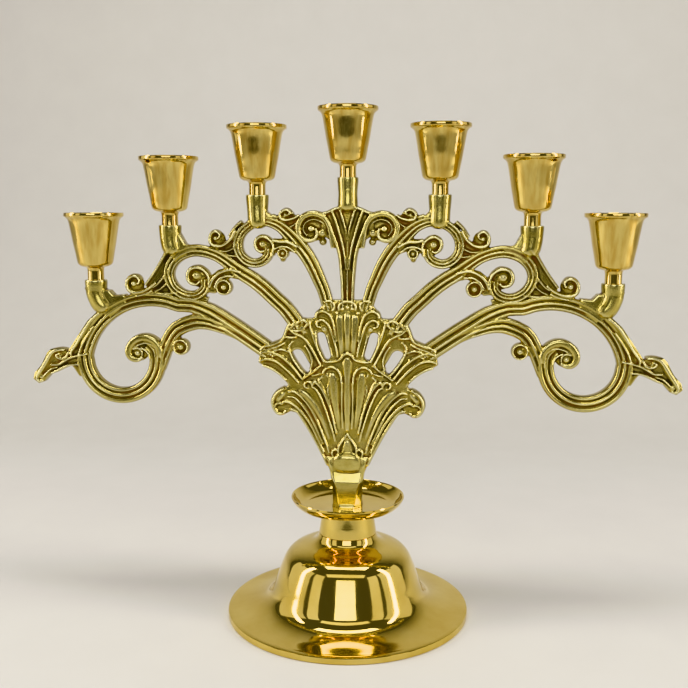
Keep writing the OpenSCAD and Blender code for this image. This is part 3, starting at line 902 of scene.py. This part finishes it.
def makeUpperScrolls():
    u = upperScrolls
    parts = [sweep("upperBands", [u["second"], u["third"]], "threeBands", casting["scrollHalf"], 6.0, 3)]
    ridges = [
        # lips of the two hooks
        [(80.4, 194, 2), (80.6, 199.6, 2.4), (82.8, 203.6, 2.8), (87, 205.6, 3), (91, 204.8, 3.2),
         (93, 201.8, 3.2), (92.8, 198.4, 3.2), (90.6, 196.2, 2.8), (87.6, 196, 2.2), (85.8, 197.8, 1.8)],
        [(43, 212.4, 1.8), (42.6, 218.2, 2.2), (45, 222, 2.6), (49.2, 223.6, 2.8), (52.6, 221.4, 2.8),
         (52.8, 217.4, 2.8), (50.2, 214.8, 2.4), (47.8, 215.4, 1.8)],
        # volutes on the top edge
        [(64.4, 227, 2.2), (67.2, 222, 2.6), (71.6, 218.6, 2.8), (76, 218, 3), (79.1, 219.8, 3),
         (79.3, 223.6, 2.8), (77.4, 226.2, 2.6), (74.9, 226, 2.2), (73.6, 223.8, 1.9), (75, 222, 1.5)],
        [(27.8, 235.6, 2.2), (31, 233.8, 2.4), (35.4, 232.9, 2.6), (38.5, 234.3, 2.6), (38, 237.3, 2.4),
         (35, 238.7, 2.2), (32.8, 237.4, 1.8), (33.6, 235.8, 1.5)],
        # straps between arm and hook
        [(62, 203, 3), (68, 204.4, 3), (74, 202.6, 3), (78.2, 198.8, 3), (80.2, 194, 2.6)],
        [(66, 200.4, 2), (71, 200.6, 2.2), (75.4, 197.8, 2.2), (77.2, 193.6, 2)],
        [(28.6, 217.6, 3), (34, 220.4, 3), (39, 220.6, 3), (43, 221.4, 2.8)],
        [(30, 214.6, 1.8), (34.4, 217.6, 2), (39.4, 217.6, 2), (43, 215.6, 1.8)],
    ]
    parts.append(ridgesOf("upperRidges", ridges))
    parts.append(knobs("upperKnobs", [
        (87.4, 200.7, 6.6, 3.0), (88, 201, 3.6, 4.4), (48.4, 219, 5.8, 3.0), (48.8, 219.2, 3.0, 4.4),
        (75.8, 221.8, 5.0, 2.8), (76.2, 222.4, 2.2, 4.2), (35.2, 236, 4.0, 2.8), (35.6, 235.9, 1.7, 4.0),
        (37.4, 210.6, 1.7, 3.4)]))
    parts += eyes("upperBud", [(72, 194.2, 4.9), (37.2, 214, 3.5)])
    half = casting["webHalf"]
    parts += plates({
        "strapSecond": (2.8, 0.6, [
            (60, 203.4), (68, 206.2), (75.4, 204.2), (80, 200.4), (81.6, 191), (77, 190.4), (74, 196.4),
            (68, 199.6), (60, 198)]),
        "strapThird": (2.8, 0.6, [
            (27, 219), (33.4, 222.2), (42, 222.4), (44.4, 214), (39.6, 214.4), (34, 215.4), (27, 212.6)]),
        "webOuter": (half, 0.6, [
            (118, 194.5), (112.4, 202), (106.2, 211.7), (104, 214.6), (100, 211), (104, 203), (101, 192),
            (93, 188.5), (81.2, 188.4), (82.2, 185.5), (98, 186), (112, 189.5), (121, 190)]),
        "webMiddle": (half, 0.6, [
            (82.4, 216.5), (79, 218), (71.5, 219.5), (68, 222.4), (64.5, 227.4), (62, 222), (62, 207.6),
            (70, 209.6), (78, 214)]),
        "webInner": (half, 0.6, [
            (43.1, 233.4), (38, 233), (32, 236), (27, 235.4), (25, 226), (28, 219), (36, 226), (41, 230)]),
    })
    # straight bright edges of the webs and the feet of the posts
    edges = [[(118.5, 195, 2.2), (112.6, 203, 2.4), (107, 212, 2.6), (104.6, 217, 3)],
             [(99.5, 190.8, 2), (108, 190, 2.2), (116, 190.8, 2.4)],
             [(68.4, 223.4, 2), (65, 228.4, 2.4), (61, 232, 2.6)],
             [(103.6, 206, 1.8), (107.4, 200, 2), (112, 195, 2), (117, 192.8, 1.8)],
             [(106, 196, 1.6), (109.4, 193, 1.8), (113, 191.6, 1.6)],
             [(61.6, 223, 1.6), (65, 217.6, 1.8), (70, 215, 1.8), (76, 215.8, 1.6)],
             [(63, 212, 1.4), (67, 212.4, 1.6), (72, 213.6, 1.4)],
             [(29, 231.4, 1.4), (33, 229, 1.6), (37.6, 230, 1.4)],
             [(31, 237, 1.8), (38, 234.4, 2.2), (43.5, 235.4, 2.6)]]
    parts.append(ridgesOf("webEdges", edges, 3.6))
    parts += plates({
        "postFootSecond": (3.5, 0.8, [
            (109.2, 225), (107.8, 222.3), (104.2, 215.6), (100, 208.6), (92, 214), (86.4, 217.1),
            (94, 219.2), (97.2, 225)]),
        "postFootThird": (3.5, 0.8, [
            (57, 242), (57, 231.6), (43, 231.6), (42.4, 234.6), (46.2, 238), (47.2, 242)]),
    })
    parts += makePost(1) + makePost(2)
    return cast("rightUpperScrolls", parts, casting["voxel"])


rightEnd = makeEndScroll()
leftEnd = mirroredCopy(rightEnd, "leftEndScroll")
rightUpper = makeUpperScrolls()
leftUpper = mirroredCopy(rightUpper, "leftUpperScrolls")
print("scrolls cast")


# the leaf crown over the middle stem

def makeCrown():
    outline = [(5.6, 240.2), (8.3, 238.5), (12, 237.2), (15.6, 237.2), (14.6, 226), (11.6, 222.4),
               (7.4, 221.2), (5.6, 215.2), (4.6, 206.5), (3.6, 197.7), (3.4, 182)]
    whole = outline + [(-x, z) for x, z in reversed(outline)]
    parts = [plate("crownPlate", [whole], 2.6)]
    ribs = bothSides([
        [(2.7, 182, 2.2), (3.0, 195, 2.2), (3.8, 206, 2.4), (4.7, 214, 2.6), (6.8, 221, 3),
         (9.3, 227.5, 3.2), (11.8, 233, 3.2), (14, 237, 3)],
        [(0.8, 205, 1.6), (1.6, 212, 2), (2.8, 219, 2.2), (4.6, 225.6, 2.6), (6.4, 231.6, 2.8),
         (8.6, 237.6, 2.6)],
        [(0.4, 222, 1.2), (1.0, 227, 1.6), (2.4, 232.5, 2.2), (4.2, 238.6, 2.4)],
        [(15.6, 236.4, 2), (12, 237, 2.2), (8, 238.8, 2.2), (4, 240, 2.2), (0, 240.2, 2.2)],
    ])
    ribs.append([(0, 182, 2.0), (0, 196, 1.8), (0, 208, 1.6), (0, 217, 1.4), (0, 223, 1)])
    parts.append(sweep("crownRibs", ribs, "roundBar", 4.3, 2.4, 3))
    # the scroll at each side of the leaf
    ring = [(8.4, 217, 2.4), (9.2, 222, 2.8), (10.2, 229, 3.4), (13.4, 234.4, 3.8), (19.4, 236.6, 4),
            (25.2, 234.8, 4), (28.2, 229.8, 3.8), (27.4, 224.4, 3.4), (23.4, 221.4, 3), (19.2, 222, 2.6),
            (17.2, 225, 2.2), (18.4, 228.4, 2)]
    inner = [(12.6, 228, 1.2), (14.2, 231.4, 1.5), (19.2, 233.4, 1.7), (24, 231.4, 1.7), (25.4, 227.4, 1.6),
             (23, 224, 1.4)]
    disc = [(20.5 + 8.4 * math.cos(math.radians(a)), 229 + 8.4 * math.sin(math.radians(a)))
            for a in range(0, 360, 12)]
    parts.append(sweep("crownRings", bothSides([ring]), "softBand", 4.2, 3.0, 2))
    parts.append(sweep("crownInnerRings", bothSides([inner]), "roundBar", 3.6, 1.8, 2))
    parts += plates({"crownDisc": (1.9, 0.5, disc),
                     "crownDiscLeft": (1.9, 0.5, [(-x, z) for x, z in disc])})
    balls = [(20.8, 228, 2.5, 4.5), (14.4, 225.6, 3.0, 4.0), (14.2, 220.6, 2.2, 3.2)]
    parts.append(knobs("crownKnobs", balls + [(-x, z, r, d) for x, z, r, d in balls]))
    parts += makePost(0)
    return cast("crownLeaf", parts, casting["voxel"])


crownPiece = makeCrown()


# the two-tier shell with the calyx and the neck under it

shell = {
    "outline": [(0, 187.6), (8.4, 187.6), (13.2, 186), (17.6, 180.8), (19.8, 176.8), (26.9, 176.4),
                (33.2, 174), (35.6, 168.9), (37.2, 165), (45.7, 161.2), (51, 158), (52.4, 150.3),
                (45, 146.3), (37, 141.2), (34.7, 136.8), (40, 134.2), (44, 129.4), (44, 124.8),
                (41.2, 119.4), (37, 119.6), (33.6, 121.6), (29.5, 120.6), (24.8, 113.3), (19.4, 104.4),
                (15.1, 96.4), (11.6, 89.2), (9.6, 84)],
    "slots": [(14, 160.4, 5.5, 16.8, 15), (27.1, 151.2, 7.5, 15.5, 30)],
    "ridgeSpread": 1.35,
}


def slotOutline(x, z, wide, long, lean, side):
    # a slot with round ends, leaning outwards
    a = math.radians(90 - lean)
    reach = (long - wide) / 2
    out = []
    for end in (1, -1):
        for i in range(9):
            t = a - math.pi / 2 + math.pi * i / 8 + (0 if end > 0 else math.pi)
            out.append((side * (x + end * reach * math.cos(a) + wide / 2 * math.cos(t)),
                        z + end * reach * math.sin(a) + wide / 2 * math.sin(t)))
    return out


def makeShell():
    outline = shell["outline"]
    whole = outline + [(-x, z) for x, z in reversed(outline) if x > 0]
    holes = [slotOutline(*hole, side) for hole in shell["slots"] for side in (1, -1)]
    parts = [plate("shellPlate", [whole, *holes], casting["shellHalf"], 0.9)]
    ridges = [
        # crest and its arches
        [(0, 186.6, 2), (3.2, 186.1, 2), (5, 183.6, 1.8), (4.6, 181.4, 1.4)],
        [(18.3, 176.8, 1.8), (17.8, 179.2, 2), (15.6, 180.8, 2.2), (12.6, 180.6, 2.2), (10, 178.6, 2.2),
         (8.4, 174.8, 2), (7.2, 169.4, 1.8), (6.4, 163.5, 1.6)],
        [(15.2, 171.6, 1.6), (17.6, 172.4, 2), (17.2, 175, 2), (14.2, 175.8, 2.2), (11, 173.2, 2.2),
         (8.8, 167.6, 2), (7, 161.5, 1.8), (5.6, 154.4, 1.4)],
        [(13.6, 186.2, 1.8), (10.8, 187, 2), (8, 185.8, 1.8), (7.4, 183, 1.6), (8.8, 181, 1.5)],
        [(13.2, 184.6, 1.4), (13.4, 182.2, 1.4), (11.6, 181.2, 1.4)],
        # between the slots
        [(25.2, 171.2, 1.8), (23.2, 173.2, 2), (24.6, 175.4, 2.2), (27.8, 175, 2.2), (29.6, 172.8, 2),
         (28.6, 170.6, 1.6)],
        [(21.6, 175.2, 1.8), (21.4, 171.6, 2), (19.6, 165.6, 2.2), (16.9, 158.4, 2), (13.4, 151.2, 1.6)],
        [(34.2, 171.4, 1.8), (31.8, 168.6, 2), (28.4, 167, 2.2), (25, 165.2, 2.2), (21.8, 161, 2.2),
         (18.6, 155.2, 2), (15.2, 148.8, 1.6)],
        [(33.6, 173.4, 2), (35.4, 169.6, 2), (36.8, 165.6, 2), (39, 163.2, 2), (44.6, 160.8, 2.2),
         (48.2, 160, 2), (51, 157.8, 2)],
        [(31.6, 163.6, 1.4), (34, 159.6, 1.6), (32.2, 153.8, 1.6), (27.4, 146.6, 1.6), (24.4, 143.6, 1.4)],
        [(24.6, 160.8, 1.4), (21.8, 156.4, 1.6), (20.6, 151, 1.6), (21.6, 146.8, 1.4)],
        [(18.6, 169.2, 1.3), (17.8, 162, 1.5), (15.4, 154.4, 1.5), (12.6, 151.6, 1.3)],
        [(11.6, 166.8, 1.3), (10, 160, 1.5), (8.8, 154.6, 1.4)],
        [(31.4, 176, 1.8), (31, 173, 1.8), (33, 171, 1.6)],
        [(36.6, 162.2, 1.6), (41, 160, 1.8), (46, 158.4, 1.8), (50, 156.6, 1.6)],
        [(24.6, 171, 1.4), (28, 169.4, 1.7), (32, 169.8, 1.7), (35, 170.4, 1.6)],
        [(29.4, 166, 1.4), (32.4, 165.4, 1.7), (36, 165.8, 1.7)],
        [(34.6, 157, 1.4), (38, 158.4, 1.7), (43, 157.6, 1.7), (46.6, 155, 1.5)],
        [(35.4, 153.4, 1.3), (39.6, 155.2, 1.5), (44, 154.2, 1.5)],
        # outer leaf below the slots
        [(50.8, 156, 2), (47, 157, 2.2), (43.6, 156.6, 2.4), (38, 153.8, 2.4), (32.2, 148.6, 2.2),
         (26.8, 141.6, 1.8)],
        [(51.6, 151.4, 2.2), (47.2, 152.6, 2.4), (41.8, 151.4, 2.4), (37, 148, 2.4), (32.4, 143.6, 2.2),
         (28.2, 138.8, 1.8)],
        [(49.5, 148.8, 1.8), (45, 147.4, 2), (40, 144.4, 2), (35.6, 140.2, 1.8)],
        # lower tier: crest over the column, lobe arches and scallops
        [(0, 156.4, 2), (2.2, 155.6, 2), (3.9, 153.4, 2), (6, 152.2, 2), (9, 151.6, 1.8),
         (12.2, 151.4, 1.6)],
        [(3.3, 138.6, 1.8), (3.9, 143.6, 2), (6, 147.2, 2.2), (9.6, 148.6, 2.2), (13, 147, 2),
         (14.4, 144.4, 1.6)],
        [(5.4, 141.4, 1.2), (6.8, 143, 1.2), (8.4, 142, 1.2), (10.4, 142, 1.2), (12, 144, 1.2)],
        [(3.2, 139, 1.8), (3.2, 130, 1.6), (3.1, 121, 1.4), (2.6, 112, 1.2)],
        [(15, 149.6, 1.8), (19, 146.2, 2), (22.4, 144, 2), (26.6, 141, 2)],
        [(15.4, 144.8, 1.4), (18, 143.8, 1.6), (20.6, 143.2, 1.4)],
        # the volutes and the long flutes of the lower tier
        spiral(23.2, 137.4, 250, 290, (1.4, 2.8), (1.4, 2.2))
        + [(19.4, 139.8, 2.2), (15.8, 136.8, 2.2), (12.8, 131.4, 2.2), (10.4, 125, 2), (8.5, 118.6, 1.8),
           (6.4, 109, 1.4)],
        [(14.4, 142.8, 1.2), (16.6, 140.6, 1.4), (14.8, 137.4, 1.4), (12, 131.6, 1.3)],
        [(10.2, 139.8, 1.2), (11.4, 135.4, 1.4), (10.2, 128, 1.3), (8.6, 121, 1.1)],
        [(21, 136.4, 1.4), (18.6, 135.6, 1.8), (15.6, 130.6, 2), (12.4, 122.4, 2), (9, 111.6, 1.6),
         (7, 104, 1.2)],
        [(34.8, 133.2, 1.6), (31, 133.6, 2), (26, 129.8, 2.2), (21, 123.2, 2.2), (16.8, 114.6, 2),
         (13, 104.6, 1.6), (10.6, 97, 1.2)],
        [(34.6, 130.4, 1.4), (31, 130.2, 1.6), (27, 126.4, 1.8), (22.2, 119.6, 1.8), (18, 111.4, 1.6),
         (14.2, 102.6, 1.4)],
        spiral(40.6, 123.4, 300, 190, (1.0, 3.6), (1.2, 2.4))
        + [(36.4, 127.6, 2.4), (32, 126.2, 2.4), (27, 121.8, 2.4), (21.8, 114.6, 2.2), (17.4, 106, 2),
           (13.8, 97.6, 1.6)],
        [(37, 135.4, 1.8), (41, 132.8, 2.2), (43.6, 128.6, 2.4), (43.6, 124.8, 2.4), (41, 120.6, 2.4),
         (37.4, 120.6, 2), (36.4, 122.6, 1.6)],
        [(33.6, 123.2, 1.6), (29.4, 121.8, 2), (24.4, 114.4, 2), (19.2, 105.6, 2), (14.8, 97, 2),
         (11.6, 90, 1.8)],
        # calyx leaf with its small curls
        [(0, 109, 1), (1.8, 106.2, 1.4), (3.8, 103.2, 1.6), (5.1, 100.6, 1.6), (5.2, 97.4, 1.4)],
        [(5.4, 96.4, 1.4), (5.6, 98.8, 1.6), (7.6, 99.4, 1.8), (9, 97.4, 1.6), (8.2, 95, 1.4),
         (6.8, 95.4, 1.2)],
        [(1.6, 104, 1), (2.4, 98, 1.2), (2.6, 93, 1.2)],
    ]
    fuller = [[(x, z, shell["ridgeSpread"] * w) for x, z, w in line] for line in ridges]
    parts.append(sweep("shellRidges", bothSides(fuller), "roundBar", 4.7, 2.4, 3))
    swells = [
        # three lobes of the upper palmette
        [(4.2, 179, 3), (4.6, 176.4, 5.4), (4.4, 171, 5), (3.8, 163, 3.8), (3.2, 155, 2.6)],
        # bright upper ends of the flutes and the long rolls between the ridges
        [(8.6, 145.4, 3), (8.2, 140, 7), (7.6, 132, 6), (6.4, 122, 4), (5, 112, 2.4)],
        [(28, 134.4, 3), (24, 131.4, 5), (18.6, 124.6, 4.8), (14.4, 116.4, 3.6), (10.6, 105.6, 2.4)],
        [(32, 130, 2), (26, 126, 3), (19.6, 117.4, 3), (14.8, 107, 2.2)],
        [(27, 172.8, 2), (26.6, 171.6, 4), (24.6, 168, 3.4)],
        [(10.8, 183.6, 2), (10.8, 183.8, 3.4), (10.8, 184, 2)],
        [(13.6, 172.6, 2), (13.4, 170.6, 4), (12.4, 168.6, 2)],
        [(42, 126.6, 2.4), (39, 131, 4.6), (36.8, 134, 2.6)],
    ]
    middle = [[(0, 180.4, 2.6), (0, 177.6, 4.4), (0, 171, 4.4), (0, 163, 3.4), (0, 156.6, 2.4)],
              [(0, 154.6, 3), (0, 151, 6.4), (0, 145, 5.6), (0, 139.4, 4.6), (0, 130, 4.6),
               (0, 121, 4.2), (0, 111, 3)],
              [(0, 107.4, 1.4), (0, 103, 5), (0, 98, 8), (0, 93, 9.6)],
              [(-2.7, 136.8, 1.6), (0, 136.8, 1.8), (2.7, 136.8, 1.6)]]
    parts.append(sweep("shellSwells", bothSides(swells) + middle, "softBand", 4.35, 4.0, 3))
    beads = [(0, 183.4, 1.8, 4.6), (3.0, 182.4, 1.6, 4.6), (6.2, 180, 1.4, 4.4), (10.6, 93.2, 1.5, 4.9),
             (32, 172.4, 1.8, 4.4), (11.2, 183.8, 1.2, 4.6), (47.6, 156, 1.6, 4.2), (21, 146.2, 1.4, 4.4)]
    parts.append(knobs("shellBeads", beads + [(-x, z, r, d) for x, z, r, d in beads if x]))
    parts.append(makeNeck())
    tongue = [(0, 98, 9), (0, 96, 15), (0, 93.6, 19), (0, 91, 20), (0, 88.8, 19), (0, 87.2, 17),
              (0, 86, 13)]
    parts.append(sweep("neckTongue", [tongue], "softBand", 6.0, 17))
    return cast("shellAndNeck", parts, casting["shellVoxel"])


def makeNeck():
    # drilled for the tie rod; eight corners, its front and back filed to tapering flats
    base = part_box("drip_pan")[0].z / mm + pan["sheet"]

    def corners(z, wide, deep, flat, bevel):
        front = [(wide, -bevel), (flat, -deep), (-flat, -deep), (-wide, -bevel)]
        return [(x, y, z) for x, y in front + [(-x, -y) for x, y in front]]

    def around(z, radius):
        turns = [math.radians(-22.5 - 45 * i) for i in range(8)]
        return [(radius * math.cos(t), radius * math.sin(t), z) for t in turns]

    rings = [around(78, 0.2), around(77.8, 3.05), around(base, 3.05), around(base, 9.6),
             around(base + 1.2, 9.4), corners(base + 2.2, 8.4, 7.8, 4.4, 4.0),
             corners(75, 8.8, 7.3, 5.8, 4.0), corners(80.8, 9.3, 6.9, 7.4, 4.2),
             corners(86.4, 10.2, 5.1, 8.4, 4.0), corners(88, 10.6, 5.1, 9.0, 4.0),
             corners(90, 11.8, 5.0, 9.8, 3.6), corners(95, 14, 4.2, 12, 3.0), corners(95.4, 6, 2, 4, 1)]
    return loft("neck", rings)


shellPiece = makeShell()
for piece in (rightEnd, leftEnd, rightUpper, leftUpper, crownPiece, shellPiece):
    hand(piece, "branch_casting")
for section in sections.values():
    bpy.data.objects.remove(section)
print("shell and crown cast")


# studio: one sheet of pale paper swept up behind, soft boxes at both sides and above

studio = {
    "paperWidth": 3.2,
    "paperFront": -0.95,
    "paperBack": 0.9,
    "paperHeight": 2.0,
    "curveRadius": 0.5,
    "worldGrey": 0.1,
    "worldBlue": 1.02,
    "aim": (0, 0, 0.12),
    "warm": "#FFF8EC",
    "neutral": "#FFFFFF",
}


def makePaper():
    line = [(studio["paperFront"], 0)]
    for i in range(13):
        a = math.radians(-90 + 90 * i / 12)
        line.append((studio["paperBack"] - studio["curveRadius"] * (1 - math.cos(a)),
                     studio["curveRadius"] * (1 + math.sin(a))))
    line.append((studio["paperBack"], studio["paperHeight"]))
    half = studio["paperWidth"] / 2
    work = bmesh.new()
    rows = [[work.verts.new((x, y, z)) for x in (-half, half)] for y, z in line]
    for first, second in zip(rows, rows[1:]):
        work.faces.new((first[0], first[1], second[1], second[0])).smooth = True
    builtMesh("paper", work, paleStudioPaper())


def softBox(name, place, wide, tall, power, hexColour=studio["warm"], target=studio["aim"]):
    lamp = bpy.data.lights.new(name, "AREA")
    lamp.shape = "RECTANGLE"
    lamp.size, lamp.size_y = wide, tall
    lamp.energy = power
    lamp.color = linearColour(hexColour)[:3]
    made = placed(name, lamp)
    made.location = place
    made.rotation_euler = (Vector(target) - Vector(place)).to_track_quat("-Z", "Y").to_euler()


def makeStudio():
    makePaper()
    softBox("leftBox", (-0.92, -0.2, 0.5), 0.12, 0.9, 5, target=(0, 0, 0.15))
    softBox("rightBox", (0.94, -0.16, 0.5), 0.12, 0.9, 5, target=(0, 0, 0.15))
    softBox("topBox", (0, -0.1, 1.1), 0.9, 0.25, 5, studio["neutral"], (0, 0, 0.1))
    softBox("windowBox", (0.04, -1.3, 0.48), 0.72, 0.44, 3.4, studio["neutral"])
    softBox("leftPanel", (-1.2, -1.1, 0.5), 0.5, 1.1, 1.5)
    softBox("rightPanel", (1.28, -1.05, 0.5), 0.5, 1.1, 1.5)
    softBox("leftWall", (-1.5, -0.1, 0.5), 1.3, 1.1, 3.4)
    softBox("rightWall", (1.5, -0.05, 0.5), 1.3, 1.1, 3.4)
    softBox("highPanel", (0.02, -1.15, 1.2), 1.8, 0.4, 2.6)
    world = bpy.data.worlds.new("studioAir")
    world.use_nodes = True
    grey, blue = studio["worldGrey"], studio["worldGrey"] * studio["worldBlue"]
    world.node_tree.nodes["Background"].inputs[0].default_value = (grey, grey, blue, 1)
    bpy.context.scene.world = world
    bpy.context.scene.view_settings.view_transform = "Khronos PBR Neutral"


makeStudio()
print("studio set")
